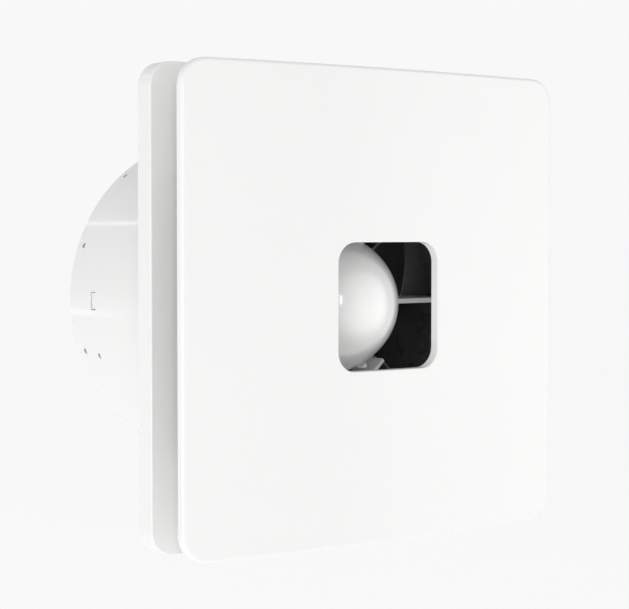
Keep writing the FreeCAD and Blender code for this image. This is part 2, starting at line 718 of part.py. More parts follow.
def make_driver_board():
    board = cylinder(27.6, BOARD_BACK - BOARD_FRONT, Vector(0, BOARD_FRONT, 0))
    board = board.cut(cylinder(4, 4, Vector(0, BOARD_FRONT - 1, 0)))
    for angle in (0, 120, 240):
        board = board.cut(cylinder(1.3, 4, at_angle(23.5, angle, BOARD_FRONT - 1)))
    node(feature("driver_board", board), "driver_board")

    cans = []
    for across, up, radius, height in ((-10, 8, 5, 12), (-13.5, -7, 4, 10)):
        can = cylinder(radius, height, Vector(across, BOARD_FRONT - height, up))
        rims = [edge for edge in can.Edges if len(edge.Vertexes) == 1]
        can = can.makeFillet(0.6, [edge for edge in rims if edge.BoundBox.YMax < BOARD_FRONT - 1])
        cans.append(can)
    node(feature("board_capacitors", Part.makeCompound(cans)), "board_capacitors")

    ring = Part.makeTorus(4.6, 2.1, Vector(10.5, BOARD_FRONT - 2.1, 9.5), Vector(0, 1, 0))
    node(feature("board_choke", ring), "board_choke")

    chips = []
    for across, up, wide, high, tall in ((9, -2.5, 9, 6, 1.7), (-4, -17, 6, 5, 1.5), (-1, 18.5, 5, 4, 1.5),
                                         (19, -9, 6, 4.5, 2.2)):
        chips.append(box(Vector(wide, tall, high), Vector(across, BOARD_FRONT - tall / 2, up)))
    node(feature("board_chips", Part.makeCompound(chips)), "board_chips")

    plug = box(Vector(9, 6.4, 6), Vector(0, BOARD_FRONT - 3.2, 0))
    plug = plug.cut(box(Vector(7.4, 4.4, 4.4), Vector(0, BOARD_FRONT - 5.6, 0)))
    plug.rotate(Vector(), Vector(0, -1, 0), LEAD_ANGLE + 90)
    plug.translate(at_angle(19.5, LEAD_ANGLE))
    node(feature("board_connector", plug), "board_connector")

    shape = screw(0.9, 5.2, 1.9, 1.2)
    screws("board_screws", shape, [at_angle(23.5, angle, BOARD_FRONT) for angle in (0, 120, 240)])


# ---- motor ----------------------------------------------------------------------------------------

def make_bearing_tube():
    plate = "pod_end-pod_plate"
    front = f"{plate}-2"
    shoulder = "bearing_radius-0.9"
    front_shoulder = "front_bearing+bearing_width"
    rear_shoulder = "rear_bearing-0.6"
    body = new_body("bearing_tube")
    revolve(body, "tube_turning",
            [("bearing_radius", front), ("tube_flange", front), ("tube_flange", plate),
             ("tube_outside", plate), ("tube_outside", "tube_end"), ("bearing_radius", "tube_end"),
             ("bearing_radius", rear_shoulder), (shoulder, rear_shoulder), (shoulder, front_shoulder),
             ("bearing_radius", front_shoulder)])

    def holes(sketch):
        for index in range(3):
            place = at_angle(11.2, 30 + 120 * index)
            circle(sketch, "1.3", f"{place.x:.4f}", f"{place.z:.4f}")

    pocket(body, "tube_flange_holes", f"{front}-1", plate, holes)
    node(body, "bearing_tube")
    shape = screw(0.95, 3.9, 1.9, 1.1)
    screws("tube_screws", shape, [at_angle(11.2, 30 + 120 * index, value(front)) for index in range(3)])
    node(tube("preload_washer", "bearing_radius", "bearing_radius-0.8", rear_shoulder, "rear_bearing"),
         "preload_washer")


def make_bearing(name, start):
    """A deep-groove ball bearing: outer ring, inner ring, and its balls in a cage."""
    middle = f"{start}+bearing_width/2"
    stop = f"{start}+bearing_width"
    gap = value("pitch_radius")
    groove = doc.addObject("Part::Torus", name + "_groove")
    bind(groove, "Radius1", "pitch_radius")
    bind(groove, "Radius2", "ball_radius+race_clearance")
    groove.Placement = Placement(Vector(), AXIAL)
    bind(groove, "Placement.Base.y", middle)
    outer = tube(name + "_outer_blank", "bearing_radius", "pitch_radius+0.75", start, stop)
    node(cut(name + "_outer_ring", outer, groove), name + "_outer_ring")
    second = doc.copyObject(groove)
    inner = tube(name + "_inner_blank", "pitch_radius-0.75", "shaft_radius", start, stop)
    node(cut(name + "_inner_ring", inner, second), name + "_inner_ring")

    depth = value(middle)
    radius = value("ball_radius")
    cage = cylinder(gap + 0.35, 2.6, Vector(0, depth - 1.3, 0)).cut(
        cylinder(gap - 0.35, 4, Vector(0, depth - 2, 0)))
    window = cylinder(radius + 0.05, 2, Vector(gap - 1, depth, 0), Vector(1, 0, 0))
    pockets = round_about(window, BALLS, 12)
    balls = round_about(Part.makeSphere(radius, Vector(gap, depth, 0)), BALLS, 12)
    node(feature(name + "_balls", Part.makeCompound([cage.cut(pockets)] + balls)), name + "_balls")


def make_shaft():
    front = "front_bearing-1.8"
    groove = "front_bearing-1.1"
    turned("motor_shaft",
           [("0", front), ("shaft_radius-0.4", front), ("shaft_radius", f"{front}+0.3"),
            ("shaft_radius", groove), ("shaft_radius-0.5", groove), ("shaft_radius-0.5", f"{groove}+0.6"),
            ("shaft_radius", f"{groove}+0.6"), ("shaft_radius", "cup_end-0.3"),
            ("shaft_radius-0.3", "cup_end"), ("0", "cup_end")])
    depth = value(groove)
    ring = cylinder(3.6, 0.5, Vector(0, depth + 0.05, 0)).cut(
        cylinder(value("shaft_radius") - 0.5, 2, Vector(0, depth - 0.5, 0)))
    ring = ring.cut(box(Vector(6, 2, 2.6), Vector(3, depth, 0)))
    node(feature("shaft_clip", ring), "shaft_clip")


def make_rotor():
    inside = "cup_outside-cup_wall"
    face = "cup_end-1.4"
    body = new_body("rotor_cup")
    revolve(body, "cup_turning",
            [("cup_outside", "cup_front"), ("cup_outside", "cup_end-1.2"), ("cup_outside-1.2", "cup_end"),
             ("shaft_radius", "cup_end"), ("shaft_radius", "cup_end-4"), ("5", "cup_end-4"),
             ("5.5", face), (inside, face), (inside, "cup_front")])

    def vents(sketch):
        for index in range(6):
            place = at_angle(15, 60 * index)
            circle(sketch, "3", f"{place.x:.4f}", f"{place.z:.4f}")

    def pilots(sketch):
        for index in range(3):
            place = at_angle(22, 30 + 120 * index)
            circle(sketch, "1.2", f"{place.x:.4f}", f"{place.z:.4f}")

    pocket(body, "cup_vents", f"{face}-1", "cup_end+1", vents)
    pocket(body, "cup_pilots", f"{face}-1", "cup_end+1", pilots)
    node(body, "rotor_cup")
    node(tube("magnet_ring", inside, f"{inside}-magnet_wall", "magnet_front",
              "magnet_front+magnet_length"), "magnet_ring")


def star(radius, yoke, tooth, shoe, mouth, start, length):
    """The stator's outline: a yoke, its teeth and their pole shoes."""
    bore = value("tube_outside")
    yoke_ring = cylinder(yoke, length, Vector(0, start, 0))
    rim = cylinder(radius, length, Vector(0, start, 0)).cut(cylinder(shoe, length, Vector(0, start, 0)))
    spoke = box(Vector(shoe + 0.6 - bore, length, tooth),
                Vector((shoe + 0.6 + bore) / 2, start + length / 2, 0))
    whole = union([yoke_ring, rim] + round_about(spoke, TEETH))
    gap = box(Vector(6, length + 2, mouth), Vector(radius - 1, start + length / 2, 0))
    whole = whole.cut(round_about(gap, TEETH, 180 / TEETH))
    return whole.cut(cylinder(bore, length + 2, Vector(0, start - 1, 0)))


def make_stator():
    start, length = value("stator_front"), value("stator_length")
    tooth, mouth, shoe = value("tooth_width"), value("slot_mouth"), value("shoe_inside")
    radius, yoke, lid = value("stator_radius"), value("stator_yoke"), value("insulator_wall")
    node(feature("stator_core", star(radius, yoke, tooth, shoe, mouth, start, length)), "stator_core")
    ends = [star(radius - 0.6, yoke, tooth + 0.4, shoe, mouth + 0.6, depth, lid)
            for depth in (start - lid, start + length)]
    node(feature("stator_insulators", Part.makeCompound(ends)), "stator_insulators")

    build = value("winding_build")
    inner, outer = yoke + 1.4, shoe - 0.5
    high = length + 2 * lid + 0.1
    middle = Vector((inner + outer) / 2, start + length / 2, 0)
    hole = box(Vector(outer - inner + 2, high, tooth + 0.5), middle)
    coil = box(Vector(outer - inner, high + 2 * build, tooth + 0.5 + 2 * build), middle)
    corners = [edge for edge in coil.Edges if edge.BoundBox.YLength < 1e-6 and edge.BoundBox.ZLength < 1e-6]
    coil = coil.makeFillet(1.5, corners)
    limit = []
    for turn in (-180 / TEETH, 180 / TEETH):
        wedge = box(Vector(80, 80, 0.3), Vector(40, middle.y, 0))
        wedge.rotate(Vector(), Vector(0, -1, 0), turn)
        limit.append(wedge)
    coil = coil.cut([hole] + limit)
    coil = max(coil.Solids, key=lambda solid: solid.Volume)
    node(feature("stator_windings", Part.makeCompound(round_about(coil, TEETH))), "stator_windings")


# ---- impeller -------------------------------------------------------------------------------------

def blade_point(chord, span, side):
    """A point of one blade. chord runs 0 to 1 from the leading edge, span 0 to 1 from root to tip,
    and side is -1 on the front skin and +1 on the back skin."""
    root, tip = value("pod_radius") - 1.2, value("blade_tip")
    radius = root + (tip - root) * span
    lead = 21.5 + 8.5 * math.sin(span * math.pi * 0.62) - 5.2 * span ** 6
    trail = -30 + 9 * span
    angle = lead + (trail - lead) * chord
    climb = 0.463                       # millimetres of depth for each degree
    depth = 39.0 - climb * angle + 0.9 * (1 - chord) ** 4
    pitch = math.atan(climb * 180 / math.pi / radius)
    half = 0.45 + 0.55 * math.sin(math.pi * min(1, max(0, chord))) ** 0.7 * (1 - 0.35 * span)
    depth += side * half * math.cos(pitch)
    angle += math.degrees(side * half * math.sin(pitch) / radius)
    return at_angle(radius, angle, depth)


def make_blade():
    chords = [index / 12 for index in range(13)]
    spans = [index / 8 for index in range(9)]
    skins = []
    for side in (-1, 1):
        grid = [[blade_point(chord, span, side) for span in spans] for chord in chords]
        surface = Part.BSplineSurface()
        surface.interpolate(grid)
        skins.append(surface)
    faces = [skin.toShape() for skin in skins]
    borders = []
    for skin in skins:
        low_u, high_u, low_v, high_v = skin.bounds()
        borders.append([skin.vIso(low_v).toShape(), skin.vIso(high_v).toShape(),
                        skin.uIso(low_u).toShape(), skin.uIso(high_u).toShape()])
    walls = [Part.makeRuledSurface(one, two) for one, two in zip(*borders)]
    shell = Part.Shell(Part.makeCompound(faces + walls).Faces)
    shell.sewShape()
    solid = Part.Solid(Part.Shell(shell.Faces))
    if solid.Volume < 0:
        solid.reverse()
    return solid


def make_impeller():
    hub_inside = "cup_outside"
    body = new_body("hub")
    face = "cup_end"
    revolve(body, "hub_turning",
            [("pod_radius", "hub_front"), ("pod_radius", "hub_end-3.5"), ("pod_radius-3.5", "hub_end"),
             ("7.5", "hub_end"), ("7.5", face), (f"{hub_inside}-1.2", face), (hub_inside, f"{face}-1.2"),
             (hub_inside, "hub_front")],
            {1: ("3.5", 1)})

    def screw_holes(sketch):
        for index in range(3):
            place = at_angle(22, 30 + 120 * index)
            circle(sketch, "1.7", f"{place.x:.4f}", f"{place.z:.4f}")

    pocket(body, "hub_screw_holes", f"{face}-1", "hub_end+1", screw_holes)
    blade = make_blade()
    blade = blade.cut(cylinder(value("pod_radius") - 0.5, 80, Vector(0, 0, 0)))
    blades = feature("impeller_blades", Part.makeCompound(round_about(blade, BLADES)))
    impeller = fuse("impeller", body, blades)
    impeller.Refine = False
    node(impeller, "impeller")
    shape = screw(1.15, 5.0, 2.6, 1.5)
    places = [at_angle(22, 30 + 120 * index, value("hub_end")) for index in range(3)]
    screws("impeller_screws", shape, places, Vector(0, -1, 0))


# ---- the motor's lead -----------------------------------------------------------------------------

def rounded_route(points):
    """A wire of straight runs joined by tangent arcs, each as large as its runs allow."""
    edges = []
    last = points[0]
    for before, corner, after in zip(points, points[1:], points[2:]):
        come, leave = corner - before, after - corner
        short = min(come.Length, leave.Length)
        reach = 0.45 * short
        turn = come.getAngle(leave)
        bend = reach / math.tan(turn / 2)
        start = corner - come.normalize() * reach
        stop = corner + leave.normalize() * reach
        inward = (stop - corner).normalize() + (start - corner).normalize()
        to_centre = bend / math.cos(turn / 2)
        middle = corner + inward.normalize() * (to_centre - bend)
        edges.append(Part.LineSegment(last, start).toShape())
        edges.append(Part.Arc(start, middle, stop).toShape())
        last = stop
    edges.append(Part.LineSegment(last, points[-1]).toShape())
    return Part.Wire(edges)


def beside_rib(radius, depth):
    """A point of the lead where it lies along the side of its rib."""
    spot = Vector(radius, depth, LEAD_ASIDE)
    return Rotation(Vector(0, -1, 0), LEAD_ANGLE).multVec(spot)


def make_motor_lead():
    """The lead runs along its rib, over the bellmouth and into the terminal box."""
    over = FRONT_FACE - LEAD_RADIUS - 0.8
    route = [beside_rib(33.6, LEAD_DEPTH), beside_rib(50, LEAD_DEPTH), beside_rib(59, 1.5),
             beside_rib(66.5, -6.3), beside_rib(76, over), beside_rib(87, over),
             Vector(56, over, -83), Vector(65, over, LEAD_ENTRY - 0.2), Vector(73.5, over, LEAD_ENTRY)]
    path = rounded_route(route)
    ring = Part.Wire(Part.makeCircle(LEAD_RADIUS, route[0], route[1] - route[0]))
    lead = path.makePipeShell([ring], True, False)
    ideal = math.pi * LEAD_RADIUS ** 2 * path.Length
    if abs(lead.Volume - ideal) > 0.01 * ideal:
        raise RuntimeError("the lead's sweep has the wrong volume")
    node(feature("motor_lead", lead), "motor_lead")

    half = value("rib_wall") / 2
    width = -LEAD_ASIDE + LEAD_RADIUS + 0.9 - half
    clip = box(Vector(2.6, 6.2, width), Vector(CLIP_RADIUS, LEAD_DEPTH, -half - width / 2))
    clip = clip.cut(cylinder(LEAD_RADIUS + 0.05, 8, Vector(CLIP_RADIUS - 4, LEAD_DEPTH, LEAD_ASIDE),
                             Vector(1, 0, 0)))
    clip = clip.cut(box(Vector(8, 6, 2.4), Vector(CLIP_RADIUS, LEAD_DEPTH + 3.5, LEAD_ASIDE)))
    clip.rotate(Vector(), Vector(0, -1, 0), LEAD_ANGLE)
    node(feature("lead_clip", clip), "lead_clip")


# ---- back-draught damper --------------------------------------------------------------------------

HINGE_HALF = 69.0
LEFT_KNUCKLES = ((-62, -47), (-20, -8), (34, 46))
RIGHT_KNUCKLES = ((-46.4, -34.4), (8.6, 20.6), (47, 62))
SPRING_SPANS = ((-32, -22), (22, 32))


def make_damper():
    ring_outside = "spigot_radius-spigot_wall-0.1"
    body = new_body("damper_ring")
    revolve(body, "damper_turning",
            [(ring_outside, "damper_front"), (ring_outside, "damper_end"),
             (f"{ring_outside}-damper_wall", "damper_end"),
             (f"{ring_outside}-damper_wall", "damper_front+seat_wall"),
             ("seat_radius", "damper_front+seat_wall"), ("seat_radius", "damper_front")])
    outer = value(ring_outside)
    depth = value("hinge_depth")
    extra, holes = [], []
    for side in (-1, 1):
        # a hooked tongue reaches forward of the ring into the spigot's latch window
        tongue = box(Vector(1.4, 12, LATCH_WIDTH - 0.8), Vector(side * (outer - 0.9), 84, 0))
        hook = latch_block(side, -0.4, outer - 1.0, value("spigot_radius") - 0.6)
        extra += [tongue, hook]
        # a boss holds each end of the hinge rod
        end = value("flap_radius") + 1.0
        boss = cylinder(3.4, outer - 0.6 - (HINGE_HALF - 4.5), Vector(0, depth, side * (HINGE_HALF - 4.5)),
                        Vector(0, 0, side))
        web = box(Vector(2.4, depth - value("damper_front"), 4),
                  Vector(0, (depth + value("damper_front")) / 2, side * (end - 2.6)))
        extra += [boss, web]
        holes.append(cylinder(value("hinge_rod") + 0.02, 40, Vector(0, depth, side * 40),
                              Vector(0, 0, side)))
    # the bar behind the hinge closes the gap between the flaps, and steadies the rod at its middle
    bar_length = 2 * value("seat_radius") + 4
    extra.append(box(Vector(11, value("seat_wall"), bar_length),
                     Vector(0, value("damper_front") + value("seat_wall") / 2, 0)))
    extra.append(box(Vector(5.4, depth - value("damper_front"), 9),
                     Vector(0, (depth + value("damper_front")) / 2, 0)))
    extra.append(cylinder(2.7, 9, Vector(0, depth, -4.5), Vector(0, 0, 1)))
    holes.append(cylinder(value("hinge_rod") + 0.02, 20, Vector(0, depth, -10), Vector(0, 0, 1)))
    additions = feature("damper_fittings", union(extra))
    whole = fuse("damper_blank", body, additions)
    node(cut("damper_ring", whole, feature("damper_bores", Part.makeCompound(holes))), "damper_ring")

    pin = doc.addObject("Part::Cylinder", "hinge_pin")
    bind(pin, "Radius", "hinge_rod")
    pin.Height = 2 * HINGE_HALF
    bind(pin, "Placement.Base.y", "hinge_depth")
    pin.Placement.Base.z = -HINGE_HALF
    node(pin, "damper_rod")

    for label, side, knuckles in (("left_flap", -1, LEFT_KNUCKLES), ("right_flap", 1, RIGHT_KNUCKLES)):
        node(feature(label, flap(side, knuckles)), label)
    for label, side, span in (("left_flap_spring", -1, SPRING_SPANS[0]),
                              ("right_flap_spring", 1, SPRING_SPANS[1])):
        node(feature(label, flap_spring(side, span)), label)


def flap(side, knuckles):
    """Half of a round plate on knuckles that turn on the upright hinge rod."""
    front, wall = value("flap_front"), value("flap_wall")
    depth, rod_radius = value("hinge_depth"), value("hinge_rod")
    plate = cylinder(value("flap_radius"), wall, Vector(0, front, 0))
    plate = plate.common(box(Vector(200, 10, 200), Vector(side * (100 + 3.6), front, 0)))
    rib = box(Vector(50, 2.4, 1.4), Vector(side * 30, front + wall + 1.0, 0))
    arc_rib = cylinder(48, 2.2, Vector(0, front + wall - 0.2, 0)).cut(
        cylinder(46.6, 4, Vector(0, front + wall - 1, 0)))
    arc_rib = arc_rib.common(box(Vector(200, 10, 200), Vector(side * (100 + 6), front, 0)))
    pieces = [plate, rib, arc_rib]
    radius = value("knuckle_radius")
    for low, high in knuckles:
        length = high - low
        arm = box(Vector(7.5, depth - front, length),
                  Vector(side * 5.2, (depth + front) / 2, (low + high) / 2))
        barrel = cylinder(radius, length, Vector(0, depth, low), Vector(0, 0, 1))
        arm_cut = cylinder(radius + 0.35, 200, Vector(0, depth, -100), Vector(0, 0, 1))
        strap = box(Vector(6.2, 2.0, length), Vector(side * 3.6, depth - radius + 1.0, (low + high) / 2))
        pieces += [arm.cut(arm_cut), barrel, strap]
    whole = union(pieces)
    return whole.cut(cylinder(rod_radius + value("running_gap"), 200, Vector(0, depth, -100),
                              Vector(0, 0, 1)))


def flap_spring(side, span):
    """A torsion spring round the hinge rod with one leg along its flap."""
    wire, turns = 0.4, 5
    low, high = span
    coil_radius = value("hinge_rod") + 0.25 + wire
    pitch = (high - low - 2) / turns
    helix = Part.makeHelix(pitch, pitch * turns, coil_radius)
    profile = Part.Wire(Part.makeCircle(wire, Vector(coil_radius, 0, 0), Vector(0, 1, 0)))
    coil = Part.Wire(helix).makePipeShell([profile], True, True)
    coil.translate(Vector(0, value("hinge_depth"), low + 1))
    leg_length = 22
    level = value("hinge_depth")
    leg = cylinder(wire, leg_length, Vector(side * coil_radius, level, low + 1), Vector(side, -0.17, 0))
    return coil.fuse(leg)


# ---- terminal box ---------------------------------------------------------------------------------

def make_terminals():
    """Mains terminals on the base's lower right corner, under a screwed cover."""
    base = FRONT_FACE
    middle = sum(TERMINALS) / 2
    block_body = box(Vector(19, 9.5, 8.6), Vector(middle, base - 4.75, TERMINAL_ROW))
    for across in TERMINALS:
        wire_way = cylinder(1.9, 12, Vector(across, base - 4.4, -87), Vector(0, 0, 1))
        screw_way = cylinder(1.75, 6, Vector(across, base - 10.5, TERMINAL_ROW))
        block_body = block_body.cut([wire_way, screw_way])
    groove = box(Vector(1.6, 5, 12), Vector(middle, base - 9.5, TERMINAL_ROW))
    block_body = block_body.cut(groove)
    node(feature("terminal_block", block_body), "terminal_block")

    clamps, heads = [], []
    for across in TERMINALS:
        sleeve = cylinder(1.9, 8, Vector(across, base - 4.4, -84.2), Vector(0, 0, 1))
        sleeve = sleeve.cut(cylinder(1.2, 10, Vector(across, base - 4.4, -86), Vector(0, 0, 1)))
        sleeve = sleeve.cut(cylinder(1.1, 4, Vector(across, base - 8, TERMINAL_ROW)))
        clamps.append(sleeve)
        heads.append(placed(screw(1.05, 2.6, 1.6, 1.4), Vector(across, base - 7.0, TERMINAL_ROW)))
    node(feature("terminal_clamps", Part.makeCompound(clamps)), "terminal_clamps")
    node(feature("terminal_screws", Part.makeCompound(heads)), "terminal_screws")

    left, right = value("box_left"), value("box_right")
    bottom, top = value("box_bottom"), value("box_top")
    high, wall = value("box_height"), value("box_wall")
    cover = prism_box(left, right, base - high, base, bottom, top)
    soft = [edge for edge in cover.Edges if edge.BoundBox.YMax < base - high + 1e-6
            or edge.BoundBox.YLength > high - 1e-6]
    cover = cover.makeFillet(1.0, soft)
    cover = cover.cut(prism_box(left + wall, right - wall, base - high + wall, base + 1,
                                bottom + wall, top - wall))
    lead_way = FRONT_FACE - LEAD_RADIUS - 0.8
    half = LEAD_RADIUS + 0.15
    cover = cover.cut(cylinder(half, 6, Vector(left - 2, lead_way, LEAD_ENTRY), Vector(1, 0, 0)))
    cover = cover.cut(prism_box(left - 1, left + wall + 0.1, lead_way, base + 1,
                                LEAD_ENTRY - half, LEAD_ENTRY + half))
    screw_x, screw_z = COVER_SCREW
    post = cylinder(2.4, high - wall + 0.2, Vector(screw_x, base - high + wall - 0.2, screw_z))
    cover = cover.fuse(post).cut(cylinder(1.25, high + 2, Vector(screw_x, base - high - 1, screw_z)))
    node(feature("terminal_cover", cover.removeSplitter()), "terminal_cover")
    screws("terminal_cover_screw", screw(1.1, high + 1.9, 2.2, 1.3),
           [Vector(screw_x, base - high, screw_z)])

    grommet_profile = [Vector(2.6, -11.2, 0), Vector(4.2, -11.2, 0), Vector(4.2, -9.5, 0),
                       Vector(3.4, -9.5, 0), Vector(3.4, -7, 0), Vector(4.4, -7, 0), Vector(4.4, -5.6, 0),
                       Vector(2.6, -5.6, 0)]
    grommet = Part.Face(Part.makePolygon(grommet_profile + grommet_profile[:1]))
    grommet = grommet.revolve(Vector(), Vector(0, 1, 0), 360)
    grommet.translate(Vector(SUPPLY_HOLE[0], 0, SUPPLY_HOLE[1]))
    node(feature("cable_grommet", grommet), "cable_grommet")

    clamp_x = sum(place[0] for place in CLAMP_SCREWS) / 2
    clamp_z = CLAMP_SCREWS[0][1]
    bar = box(Vector(10.4, 2, 4), Vector(clamp_x, base - 3.6, clamp_z))
    bar = bar.cut(cylinder(2.0, 6, Vector(clamp_x, base - 1.6, clamp_z - 3.6), Vector(0, 0, 1)))
    feet, holes = [], []
    for across, up in CLAMP_SCREWS:
        feet.append(cylinder(1.6, 2.6, Vector(across, base - 2.6, up)))
        holes.append(cylinder(1.0, 8, Vector(across, base - 6, up)))
    node(feature("cord_clamp", bar.fuse(feet).cut(holes)), "cord_clamp")
    screws("cord_clamp_screws", screw(0.85, 6.9, 1.6, 1.0),
           [Vector(across, base - 4.6, up) for across, up in CLAMP_SCREWS])


def prism_box(left, right, front, back, bottom, top):
    """An upright box between the given sides."""
    return Part.makeBox(right - left, back - front, top - bottom, Vector(left, front, bottom))


def make_spigot_screws():
    shape = screw(1.15, 4.2, 2.3, 1.4)
    back = value("flange_front+flange_wall")
    places = [at_angle(value("spigot_screw_circle"), 30 + 60 * index, back)
              for index in range(FLANGE_SCREWS)]
    screws("spigot_screws", shape, places, Vector(0, -1, 0))


# ---- assembly -------------------------------------------------------------------------------------

make_front_panel()
make_panel_bushes()
make_base_frame()
make_wall_gasket()
make_duct_spigot()
make_spigot_screws()
make_inlet_shroud()
make_motor_frame()
make_rib_screws()
make_nose_dome()
doc.recompute()
make_driver_board()
make_bearing_tube()
make_bearing("front_bearing", "front_bearing")
make_bearing("rear_bearing", "rear_bearing")
make_shaft()
make_rotor()
make_stator()
make_impeller()
make_motor_lead()
make_damper()
make_terminals()
doc.recompute()

for item in doc.Objects:
    if "Invalid" in item.State or "Error" in item.State:
        raise RuntimeError(f"{item.Label} failed: {item.State}")
for item in nodes:
    if item.Shape.isNull() or not item.Shape.isValid():
        raise RuntimeError(f"{item.Label} has no valid shape")
    if not item.Shape.Solids:
        raise RuntimeError(f"{item.Label} holds no solid")

os.makedirs("parts", exist_ok=True)
for item in nodes:
    item.Shape.exportStep(f"parts/{item.Label}.step")
    print(f"{item.Label}: {len(item.Shape.Solids)} solid(s), {item.Shape.Volume / 1000:.2f} cm3")
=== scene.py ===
"""Looks of a bathroom extractor fan: a square white front plate with a window, a glossy nose dome on six
ribs over a dark impeller, a white wall frame, and a white duct spigot with a back-draught damper behind.

Everything is in metres in the CAD frame: the duct runs along Y, the room is at -Y, and Z is up.
"""

import json
import math

import bmesh
import bpy
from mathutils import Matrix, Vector


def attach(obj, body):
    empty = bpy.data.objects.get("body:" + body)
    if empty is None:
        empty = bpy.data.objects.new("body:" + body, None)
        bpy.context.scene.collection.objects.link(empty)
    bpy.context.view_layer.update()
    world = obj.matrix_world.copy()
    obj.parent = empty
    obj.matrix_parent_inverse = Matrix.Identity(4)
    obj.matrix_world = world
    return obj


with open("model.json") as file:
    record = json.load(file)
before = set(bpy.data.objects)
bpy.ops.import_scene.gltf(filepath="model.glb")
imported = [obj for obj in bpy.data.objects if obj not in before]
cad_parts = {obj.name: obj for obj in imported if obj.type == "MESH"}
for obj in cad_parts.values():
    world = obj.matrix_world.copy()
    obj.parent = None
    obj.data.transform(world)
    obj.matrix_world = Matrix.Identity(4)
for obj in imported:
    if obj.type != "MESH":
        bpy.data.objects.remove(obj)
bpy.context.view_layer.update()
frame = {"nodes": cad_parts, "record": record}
NODES = frame["nodes"]

MM = 0.001


# ---------------------------------------------------------------- materials

class Recipe:
    """One procedural material: a Principled shader, with helpers that add the pattern nodes feeding it."""

    def __init__(self, name):
        self.material = bpy.data.materials.new(name)
        self.material.use_nodes = True
        self.tree = self.material.node_tree
        self.shader = self.tree.nodes["Principled BSDF"]
        coordinates = self.tree.nodes.new("ShaderNodeTexCoord")
        self.place = coordinates.outputs["Object"]

    def set(self, **values):
        """Plain numbers go straight on the shader's own sockets."""
        for name, value in values.items():
            self.shader.inputs[name.replace("_", " ")].default_value = value

    def link(self, source, socket):
        self.tree.links.new(source, socket)

    def stretched(self, scale):
        """The object's coordinates, each multiplied by its own factor."""
        node = self.tree.nodes.new("ShaderNodeMapping")
        node.inputs["Scale"].default_value = scale
        self.link(self.place, node.inputs["Vector"])
        return node.outputs["Vector"]

    def noise(self, scale, detail=2.0, rough=0.5, place=None):
        node = self.tree.nodes.new("ShaderNodeTexNoise")
        node.inputs["Scale"].default_value = scale
        node.inputs["Detail"].default_value = detail
        node.inputs["Roughness"].default_value = rough
        self.link(place or self.place, node.inputs["Vector"])
        return node.outputs["Fac"]

    def cells(self, scale, feature="F1"):
        node = self.tree.nodes.new("ShaderNodeTexVoronoi")
        node.feature = feature
        node.inputs["Scale"].default_value = scale
        self.link(self.place, node.inputs["Vector"])
        return node.outputs["Distance"]

    def bands(self, pitch, wobble=0.0):
        """Parallel bands that follow one another along the duct."""
        node = self.tree.nodes.new("ShaderNodeTexWave")
        node.wave_type = "BANDS"
        node.bands_direction = "Y"
        node.inputs["Scale"].default_value = 0.5 / pitch
        node.inputs["Distortion"].default_value = wobble
        self.link(self.place, node.inputs["Vector"])
        return node.outputs["Fac"]

    def span(self, source, low, high, from_low=0.0, from_high=1.0):
        """A pattern's values moved from one range to another."""
        node = self.tree.nodes.new("ShaderNodeMapRange")
        limits = {"From Min": from_low, "From Max": from_high, "To Min": low, "To Max": high}
        for name, value in limits.items():
            node.inputs[name].default_value = value
        self.link(source, node.inputs["Value"])
        return node.outputs["Result"]

    def mixed(self, share, first, second):
        """A colour between two others; each is a colour or an output socket."""
        node = self.tree.nodes.new("ShaderNodeMix")
        node.data_type = "RGBA"
        ends = [socket for socket in node.inputs if socket.type == "RGBA"]
        for socket, value in zip(ends, (first, second)):
            if isinstance(value, tuple):
                socket.default_value = (*value, 1.0)
            else:
                self.link(value, socket)
        self.link(share, node.inputs["Factor"])
        return [socket for socket in node.outputs if socket.type == "RGBA"][0]

    def product(self, first, second):
        node = self.tree.nodes.new("ShaderNodeMath")
        node.operation = "MULTIPLY"
        self.link(first, node.inputs[0])
        self.link(second, node.inputs[1])
        return node.outputs["Value"]

    def edge_mask(self, radius, low=0.004, high=0.09):
        """1 along outer and inner edges, 0 on open faces."""
        bevel = self.tree.nodes.new("ShaderNodeBevel")
        bevel.samples = 4
        bevel.inputs["Radius"].default_value = radius
        geometry = self.tree.nodes.new("ShaderNodeNewGeometry")
        dot = self.tree.nodes.new("ShaderNodeVectorMath")
        dot.operation = "DOT_PRODUCT"
        self.link(bevel.outputs["Normal"], dot.inputs[0])
        self.link(geometry.outputs["Normal"], dot.inputs[1])
        return self.span(dot.outputs["Value"], 1.0, 0.0, 1.0 - high, 1.0 - low)

    def occlusion_mask(self, distance):
        """0 deep in corners and 1 on open faces."""
        node = self.tree.nodes.new("ShaderNodeAmbientOcclusion")
        node.samples = 4
        node.inputs["Distance"].default_value = distance
        return node.outputs["AO"]

    def bump(self, *layers):
        """Stacks (pattern, height in metres, strength) layers into the shader's normal."""
        last = None
        for pattern, height, strength in layers:
            node = self.tree.nodes.new("ShaderNodeBump")
            node.inputs["Distance"].default_value = height
            node.inputs["Strength"].default_value = strength
            self.link(pattern, node.inputs["Height"])
            if last is not None:
                self.link(last, node.inputs["Normal"])
            last = node.outputs["Normal"]
        self.link(last, self.shader.inputs["Normal"])

    def colour(self, source):
        self.link(source, self.shader.inputs["Base Color"])

    def roughness(self, source):
        self.link(source, self.shader.inputs["Roughness"])


def shade(colour, factor):
    return tuple(min(1.0, c * factor) for c in colour)


